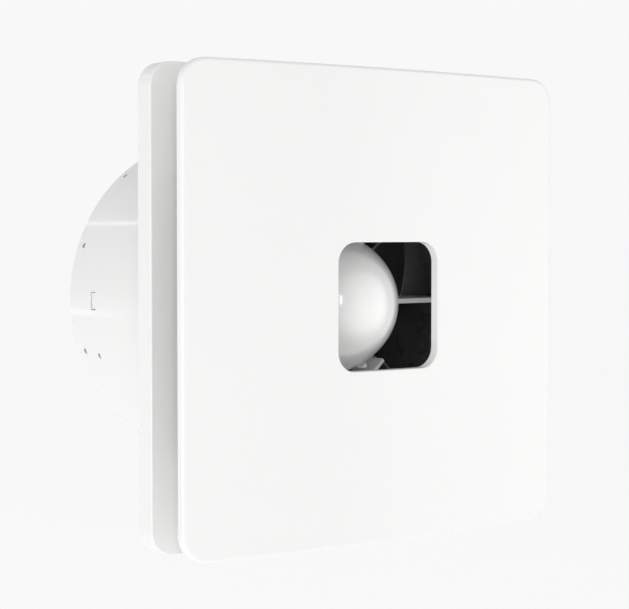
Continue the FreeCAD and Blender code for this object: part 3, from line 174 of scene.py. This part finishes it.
def moulded_plastic(name, colour, rough, peel=0.5, grain=0.25, coat=0.0):
    """Injection-moulded plastic: faint flow clouds in the colour, a painted highlight that makes the edges
    paler, painted shade that darkens the corners a little, orange peel and a fine grain."""
    r = Recipe(name)
    clouds = r.noise(16.0, 2.0, 0.5)
    flow = r.noise(5.0, 2.0, 0.5, r.stretched((1.0, 1.0, 3.2)))
    base = r.mixed(r.span(clouds, 0.0, 1.0, 0.2, 0.8), shade(colour, 0.992), colour)
    base = r.mixed(r.span(flow, 0.0, 0.5, 0.3, 0.8), base, shade(colour, 1.006))
    # painted highlight: edges and fillets a little paler than the open faces
    edges = r.edge_mask(0.7 * MM)
    base = r.mixed(r.span(edges, 0.0, 0.5), base, shade(colour, 1.04))
    # painted shade: corners and creases darker, with a faint warm tint
    corner_shade = r.span(r.occlusion_mask(5 * MM), 0.22, 0.0, 0.15, 0.75)
    base = r.mixed(corner_shade, base, tuple(c * k for c, k in zip(colour, (0.90, 0.895, 0.88))))
    r.colour(base)
    smears = r.noise(30.0, 3.0, 0.5, r.stretched((1.0, 1.0, 0.45)))
    r.roughness(r.span(smears, rough - 0.03, rough + 0.04, 0.2, 0.8))
    r.bump(
        (r.noise(420.0, 2.0, 0.5), 0.012 * MM, peel),
        (r.noise(3000.0, 2.0, 0.6), 0.004 * MM, grain),
    )
    r.set(IOR=1.5, Coat_Weight=coat, Coat_Roughness=0.08)
    return r.material


LIT_BAND_FROM, LIT_BAND_TO = 20 * MM, 38 * MM       # the painted light band on the duct wall fades in over these places along the duct
LIT_BAND_LOW, LIT_BAND_HIGH = -4 * MM, 8 * MM       # and over these heights


def dark_plastic(name, colour, rough, edge_wear_and_highlight=(0.22, 0.22, 0.22), reach=0.5 * MM, lit_band=None):
    """Dark filled plastic with a spark-eroded grain and specks of dust. The edge tone, over reach, is
    rubbed wear on most pieces and a painted highlight along the impeller's blade edges. The optional pale
    tone is painted
    light: a paler band that the wall takes further down the duct, along its upper half."""
    r = Recipe(name)
    clouds = r.noise(40.0, 4.0, 0.6)
    base = r.mixed(r.span(clouds, 0.0, 1.0, 0.3, 0.7), shade(colour, 0.8), shade(colour, 1.25))
    specks = r.span(r.noise(1800.0, 1.0), 0.0, 0.35, 0.62, 0.7)
    base = r.mixed(specks, base, shade(colour, 2.4))
    # painted light: a paler band on the upper half of the wall further down the duct, where light reaches
    # it
    if lit_band:
        axes = r.tree.nodes.new("ShaderNodeSeparateXYZ")
        r.link(r.place, axes.inputs["Vector"])
        along = r.span(axes.outputs["Y"], 0.0, 1.0, LIT_BAND_FROM, LIT_BAND_TO)
        height = r.span(axes.outputs["Z"], 0.0, 1.0, LIT_BAND_LOW, LIT_BAND_HIGH)
        base = r.mixed(r.product(along, height), base, lit_band)
    # pale edges: rubbed wear on most dark pieces; on the impeller, a painted highlight along the blade
    # edges
    base = r.mixed(r.span(r.edge_mask(reach), 0.0, 0.9), base, edge_wear_and_highlight)
    r.colour(base)
    r.roughness(r.span(r.noise(90.0, 4.0, 0.6), rough - 0.07, rough + 0.08, 0.3, 0.7))
    r.bump(
        (r.noise(900.0, 3.0, 0.6), 0.02 * MM, 0.35),
        (r.cells(2400.0), 0.01 * MM, 0.3),
    )
    return r.material


def foam(name, colour):
    """Closed-cell foam: small pits of two sizes and a blotchy tone."""
    r = Recipe(name)
    pits = r.cells(1100.0)
    coarse = r.cells(420.0)
    base = r.mixed(r.span(pits, 0.0, 1.0, 0.1, 0.5), shade(colour, 0.45), shade(colour, 1.35))
    base = r.mixed(r.span(r.noise(70.0, 4.0), 0.0, 0.5, 0.35, 0.7), base, shade(colour, 1.6))
    r.colour(base)
    r.roughness(r.span(pits, 0.95, 0.8))
    r.bump((pits, 0.25 * MM, 0.9), (coarse, 0.4 * MM, 0.5))
    r.set(Sheen_Weight=0.15)
    return r.material


def rubber(name, colour, rough=0.6):
    """Soft moulded rubber with a bloom on its surface."""
    r = Recipe(name)
    bloom = r.noise(120.0, 5.0, 0.65)
    base = r.mixed(r.span(bloom, 0.0, 1.0, 0.35, 0.7), shade(colour, 0.85), shade(colour, 1.3))
    base = r.mixed(r.span(r.edge_mask(0.4 * MM), 0.0, 0.35), base, shade(colour, 1.7))
    r.colour(base)
    r.roughness(r.span(bloom, rough - 0.08, rough + 0.15, 0.3, 0.7))
    r.bump((r.noise(1500.0, 3.0, 0.6), 0.02 * MM, 0.4))
    return r.material


def plated_metal(name, colour, rough):
    """Plated or bare metal: crystalline tone changes, fine scratches, and brighter rubbed edges."""
    r = Recipe(name)
    crystals = r.noise(650.0, 4.0, 0.7)
    base = r.mixed(r.span(crystals, 0.0, 1.0, 0.35, 0.65), shade(colour, 0.82), shade(colour, 1.1))
    base = r.mixed(r.span(r.edge_mask(0.25 * MM), 0.0, 0.6), base, shade(colour, 1.35))
    r.colour(base)
    scratches = r.noise(900.0, 3.0, 0.6, r.stretched((1.0, 0.08, 1.0)))
    r.roughness(r.span(scratches, rough - 0.08, rough + 0.12, 0.3, 0.7))
    r.bump((scratches, 0.008 * MM, 0.35))
    r.set(Metallic=1.0)
    return r.material


def turned_metal(name, colour, rough, pitch):
    """Metal turned about the duct axis: tool marks that run round it."""
    r = Recipe(name)
    marks = r.bands(pitch, 1.2)
    base = r.mixed(r.span(marks, 0.0, 1.0), shade(colour, 0.88), shade(colour, 1.08))
    base = r.mixed(r.span(r.noise(200.0, 4.0), 0.0, 0.4, 0.4, 0.7), base, shade(colour, 0.8))
    r.colour(base)
    r.roughness(r.span(marks, rough - 0.06, rough + 0.08))
    r.bump((marks, 0.01 * MM, 0.4), (r.noise(1500.0), 0.005 * MM, 0.3))
    r.set(Metallic=1.0)
    return r.material


def laminations(name, colour, sheet, varnish):
    """Stacked electrical steel with varnish stains. sheet is the thickness of one lamination."""
    r = Recipe(name)
    sheets = r.bands(sheet, 0.2)
    base = r.mixed(r.span(sheets, 0.0, 1.0, 0.2, 0.6), shade(colour, 0.45), colour)
    base = r.mixed(r.span(r.noise(180.0, 4.0), 0.0, 0.6, 0.5, 0.75), base, varnish)
    r.colour(base)
    r.roughness(r.span(sheets, 0.6, 0.4))
    r.bump((sheets, 0.08 * MM, 0.7))
    r.set(Metallic=0.8)
    return r.material


def ferrite(name, colour):
    """Bonded ferrite: dark, dull and grainy."""
    r = Recipe(name)
    grains = r.noise(1600.0, 4.0, 0.7)
    base = r.mixed(r.span(grains, 0.0, 1.0, 0.35, 0.65), shade(colour, 0.7), shade(colour, 1.5))
    r.colour(base)
    r.roughness(r.span(grains, 0.55, 0.75))
    r.bump((grains, 0.03 * MM, 0.6))
    return r.material


def enamelled_wire(name, colour, wire):
    """Rows of enamelled copper wire laid side by side. wire is its diameter."""
    r = Recipe(name)
    rows = r.bands(wire, 0.6)
    base = r.mixed(r.span(rows, 0.0, 1.0, 0.1, 0.7), shade(colour, 0.35), shade(colour, 1.15))
    r.colour(base)
    r.roughness(r.span(rows, 0.45, 0.28))
    r.bump((rows, 0.2 * MM, 0.9))
    r.set(Metallic=0.9, Coat_Weight=0.5, Coat_Roughness=0.15)
    return r.material


def laminate(name, colour):
    """Circuit-board laminate under solder mask: a woven glass texture and faint copper pours."""
    r = Recipe(name)
    weave = r.cells(1400.0)
    pours = r.cells(160.0, "DISTANCE_TO_EDGE")
    base = r.mixed(r.span(pours, 0.0, 1.0, 0.02, 0.035), shade(colour, 0.65), shade(colour, 1.35))
    base = r.mixed(r.span(weave, 0.0, 0.35), base, shade(colour, 0.7))
    r.colour(base)
    r.roughness(r.span(r.noise(300.0, 3.0), 0.25, 0.4))
    r.bump((pours, 0.03 * MM, 0.3), (weave, 0.01 * MM, 0.3))
    return r.material


# the material of each of the record's slots
FINISH = {
    "panel_white": moulded_plastic("panel_white_gloss", (0.872, 0.872, 0.865), 0.24, peel=0.22, grain=0.15),
    "body_white": moulded_plastic("body_white_gloss", (0.86, 0.86, 0.854), 0.12, peel=0.1, grain=0.1),
    "nose_white": moulded_plastic("nose_white_gloss", (0.915, 0.915, 0.907), 0.16, peel=0.1, grain=0.1,
                                  coat=0.4),
    "black_plastic": dark_plastic("black_moulded", (0.050, 0.050, 0.052), 0.36),
    "flap_grey": moulded_plastic("flap_off_white", (0.74, 0.74, 0.73), 0.42, peel=0.4, grain=0.5),
    "terminal_white": moulded_plastic("terminal_nylon", (0.80, 0.79, 0.75), 0.48, peel=0.5, grain=0.6),
    "foam": foam("foam_grey", (0.10, 0.10, 0.105)),
    "rubber": rubber("rubber_grey", (0.14, 0.14, 0.14)),
    "screw_steel": plated_metal("zinc_plated_steel", (0.66, 0.66, 0.65), 0.30),
    "steel": plated_metal("bright_steel", (0.60, 0.60, 0.60), 0.24),
    "aluminium": turned_metal("turned_aluminium", (0.78, 0.78, 0.79), 0.30, pitch=0.35 * MM),
    "lamination": laminations("core_laminations", (0.35, 0.35, 0.36), sheet=0.5 * MM,
                              varnish=(0.20, 0.13, 0.07)),
    "magnet": ferrite("ferrite", (0.09, 0.09, 0.10)),
    "copper": enamelled_wire("enamelled_copper", (0.72, 0.34, 0.16), wire=0.45 * MM),
    "brass": plated_metal("brass_clamp", (0.80, 0.60, 0.28), 0.28),
    "circuit_board": laminate("board_laminate", (0.03, 0.20, 0.08)),
    "lead_sheath": moulded_plastic("lead_sheath_pvc", (0.42, 0.42, 0.415), 0.40, peel=0.5, grain=0.5),
}

# pieces that look different from the rest of their slot
OWN_FINISH = {
    # the shroud's wall carries the painted light band
    "inlet_shroud": dark_plastic("shroud_moulded", (0.095, 0.095, 0.097), 0.30, lit_band=(0.42, 0.42, 0.42)),
    # the impeller's pale edges are a painted highlight along its blade edges
    "impeller": dark_plastic("impeller_moulded", (0.048, 0.048, 0.050), 0.34, edge_wear_and_highlight=(0.75, 0.75, 0.74),
                             reach=1.3 * MM),
}


def wear(piece, material):
    """Gives a whole piece one material."""
    piece.data.materials.clear()
    piece.data.materials.append(material)


for part in frame["record"]["subparts"]:
    wear(NODES[part["node"]], OWN_FINISH.get(part["node"], FINISH[part["material_slot"]]))


# ---------------------------------------------------------------- pip shade pieces (painted shade)

SPIGOT_RADIUS = 74.3 * MM
PIP_DEPTH = 0.7 * MM        # how deep the spigot's pips are
# the pips by their angle above (+) or below the spigot's side, in degrees, and their place along the duct
PIPS = ((19.6, 97.0 * MM), (-18.4, 95.4 * MM), (-19.7, 83.6 * MM), (50.3, 97.6 * MM))
PIP_SHADE_HEAD = 0.82 * MM       # radius of a shade piece's round head
PIP_SHADE_TONGUE = 1.32 * MM     # length of its tongue
PIP_SHADE_HALF = 1.22 * MM       # half the width of its tongue
PIP_SHADE_WAIST = 0.05 * MM      # where the tongue begins, on the room's side of the head's centre
PIP_SHADE_CORNERS = 12
# a shade piece's rings from the pip's floor up: size against its outline, and height
PIP_SHADE_RINGS = ((1.0, 0.05 * MM), (1.0, 0.40 * MM), (0.82, 0.56 * MM))


def pip_shade_outline():
    """A round head with a short square tongue towards the room, as (along, across) in metres."""
    outline = [(-PIP_SHADE_WAIST, PIP_SHADE_HALF), (-PIP_SHADE_TONGUE, PIP_SHADE_HALF),
               (-PIP_SHADE_TONGUE, -PIP_SHADE_HALF), (-PIP_SHADE_WAIST, -PIP_SHADE_HALF)]
    for index in range(PIP_SHADE_CORNERS + 1):
        angle = math.pi * (index / PIP_SHADE_CORNERS - 0.5)
        outline.append((PIP_SHADE_HEAD * math.cos(angle), PIP_SHADE_HEAD * math.sin(angle)))
    return outline


def pip_shade_pieces():
    """Grey pieces with a rubber finish that fill the pips on both sides, domed a little and sunk just under
    the skin:
    painted shade that stands in for the shadow inside the pips.
    """
    bm = bmesh.new()
    for lift, along in PIPS:
        for turn in (math.radians(180 - lift), math.radians(-lift)):
            out = Vector((math.cos(turn), 0, math.sin(turn)))
            across = Vector((-math.sin(turn), 0, math.cos(turn)))
            rings = []
            for size, height in PIP_SHADE_RINGS:
                base = out * (SPIGOT_RADIUS - PIP_DEPTH + height)
                rings.append([bm.verts.new(base + Vector((0, along + x * size, 0)) + across * (z * size))
                              for x, z in pip_shade_outline()])
            for low, high in zip(rings, rings[1:]):
                for index in range(len(low)):
                    after = (index + 1) % len(low)
                    bm.faces.new((low[index], low[after], high[after], high[index]))
            bm.faces.new(rings[-1])
            bm.faces.new(rings[0][::-1])
    bmesh.ops.recalc_face_normals(bm, faces=bm.faces)
    mesh = bpy.data.meshes.new("pip_shade_pieces")
    bm.to_mesh(mesh)
    bm.free()
    piece = bpy.data.objects.new("pip_shade_pieces", mesh)
    bpy.context.scene.collection.objects.link(piece)
    # painted shade: a mid-grey that stands in for the shadow in the pips
    wear(piece, rubber("pip_shade_grey", (0.30, 0.30, 0.30)))
    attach(piece, "housing")


pip_shade_pieces()


# ---------------------------------------------------------------- studio

ROOM_LIGHT = 0.68
# the room light's level by height, from 0 straight down to 1 straight up
ROOM_LEVELS = ((0.0, 1.0), (0.48, 1.0), (0.52, 1.04), (0.69, 1.04), (0.715, 0.98), (1.0, 1.0))
SEEN_BACKGROUND = 0.94      # the grey that the camera sees above the floor
FLOOR_HEIGHT = -0.42
FLOOR_SIZE = 30.0
FLOOR_GLOW = 0.295

# area lamps: name, place, what it points at, its two sides, watts. The two strips lie along the duct, so
# the spigot shows them as straight stripes.
SOFTBOXES = (
    ("right_front", (0.36, -0.27, 0.0), (0.10, -0.03, 0.0), (0.30, 0.50), 0.34),
    ("lower_left", (-0.42, -0.30, -0.35), (-0.09, -0.02, -0.08), (0.25, 0.25), 0.05),
    ("left", (-1.1, 0.1, 0.15), (-0.1, 0, 0), (0.8, 0.8), 0.15),
    ("left_front", (-0.95, -0.42, -0.1), (-0.05, -0.03, 0), (0.6, 0.4), 1.6),
    ("front_left", (-0.605, -0.973, 0.171), (0, 0, 0), (0.1, 0.36), 1.0),
    ("upper_strip", (-0.53, 1.5, 0.735), (0, 1.5, -0.067), (2.0, 0.02), 0.5),
    ("lower_strip", (-0.87, 1.95, -0.205), (0, 1.95, 0.01), (1.0, 0.07), 0.25),
)

CAMERA_PLACE = (-0.47418, -0.61263, 0.03348)
CAMERA_FORWARD = Vector((0.6028, 0.7967, -0.0440))
SENSOR_WIDTH = 36.0         # millimetres
FOCAL_LENGTH = 101.07


def backdrop_light(tree):
    """The room's light by direction: nearly even, with faint steps above eye level."""
    light = tree.nodes.new("ShaderNodeBackground")
    coordinates = tree.nodes.new("ShaderNodeTexCoord")
    axes = tree.nodes.new("ShaderNodeSeparateXYZ")
    tree.links.new(coordinates.outputs["Generated"], axes.inputs["Vector"])
    ramp = tree.nodes.new("ShaderNodeValToRGB")
    while len(ramp.color_ramp.elements) < len(ROOM_LEVELS):
        ramp.color_ramp.elements.new(0.5)
    for element, (position, level) in zip(ramp.color_ramp.elements, ROOM_LEVELS):
        element.position = position
        element.color = (level, level, level, 1.0)
    height = tree.nodes.new("ShaderNodeMapRange")
    height.inputs["From Min"].default_value = -1.0
    tree.links.new(axes.outputs["Z"], height.inputs["Value"])
    tree.links.new(height.outputs["Result"], ramp.inputs["Fac"])
    tree.links.new(ramp.outputs["Color"], light.inputs["Color"])
    light.inputs["Strength"].default_value = ROOM_LIGHT
    return light.outputs["Background"]


def make_world(scene):
    """The room lights the object, and the camera sees a plain pale grey in its place."""
    world = bpy.data.worlds.new("studio")
    scene.world = world
    world.use_nodes = True
    tree = world.node_tree
    tree.nodes.clear()
    out = tree.nodes.new("ShaderNodeOutputWorld")
    seen = tree.nodes.new("ShaderNodeBackground")
    seen.inputs["Color"].default_value = (SEEN_BACKGROUND, SEEN_BACKGROUND, SEEN_BACKGROUND, 1.0)
    path = tree.nodes.new("ShaderNodeLightPath")
    choose = tree.nodes.new("ShaderNodeMixShader")
    tree.links.new(path.outputs["Is Camera Ray"], choose.inputs["Fac"])
    tree.links.new(backdrop_light(tree), choose.inputs[1])
    tree.links.new(seen.outputs["Background"], choose.inputs[2])
    tree.links.new(choose.outputs["Shader"], out.inputs["Surface"])


def make_floor(scene):
    mesh = bpy.data.meshes.new("floor")
    bm = bmesh.new()
    bmesh.ops.create_grid(bm, x_segments=2, y_segments=2, size=FLOOR_SIZE)
    bm.to_mesh(mesh)
    bm.free()
    floor = bpy.data.objects.new("floor", mesh)
    floor.location = (0, 0, FLOOR_HEIGHT)
    scene.collection.objects.link(floor)
    r = Recipe("pale_floor")
    r.colour(r.mixed(r.noise(3.0, 3.0), (0.925, 0.925, 0.925), (0.94, 0.94, 0.94)))
    r.roughness(r.span(r.noise(6.0), 0.8, 0.9))
    r.set(Emission_Color=(1.0, 1.0, 1.0, 1.0), Emission_Strength=FLOOR_GLOW)
    wear(floor, r.material)


def aim(thing, place, forward):
    """Puts a lamp or camera at its place, looking forward."""
    thing.location = place
    thing.rotation_mode = "QUATERNION"
    thing.rotation_quaternion = forward.to_track_quat("-Z", "Y")


def make_softbox(scene, name, place, target, sides, watts):
    data = bpy.data.lights.new(name, "AREA")
    data.shape = "RECTANGLE"
    data.size, data.size_y = sides
    data.energy = watts
    lamp = bpy.data.objects.new(name, data)
    aim(lamp, place, Vector(target) - Vector(place))
    scene.collection.objects.link(lamp)


def make_camera(scene):
    data = bpy.data.cameras.new("camera")
    data.sensor_fit = "HORIZONTAL"
    data.sensor_width = SENSOR_WIDTH
    data.lens = FOCAL_LENGTH
    data.clip_start = 0.01
    data.clip_end = 100.0
    camera = bpy.data.objects.new("camera", data)
    aim(camera, CAMERA_PLACE, CAMERA_FORWARD)
    scene.collection.objects.link(camera)
    scene.camera = camera


def studio():
    """A pale floor, soft light from a bright room, and the camera."""
    scene = bpy.context.scene
    scene.view_settings.view_transform = "Standard"
    scene.view_settings.look = "None"
    # light keeps bouncing between white walls that face each other
    scene.cycles.max_bounces = 16
    scene.cycles.diffuse_bounces = 12
    make_world(scene)
    make_floor(scene)
    for lamp in SOFTBOXES:
        make_softbox(scene, *lamp)
    make_camera(scene)


studio()
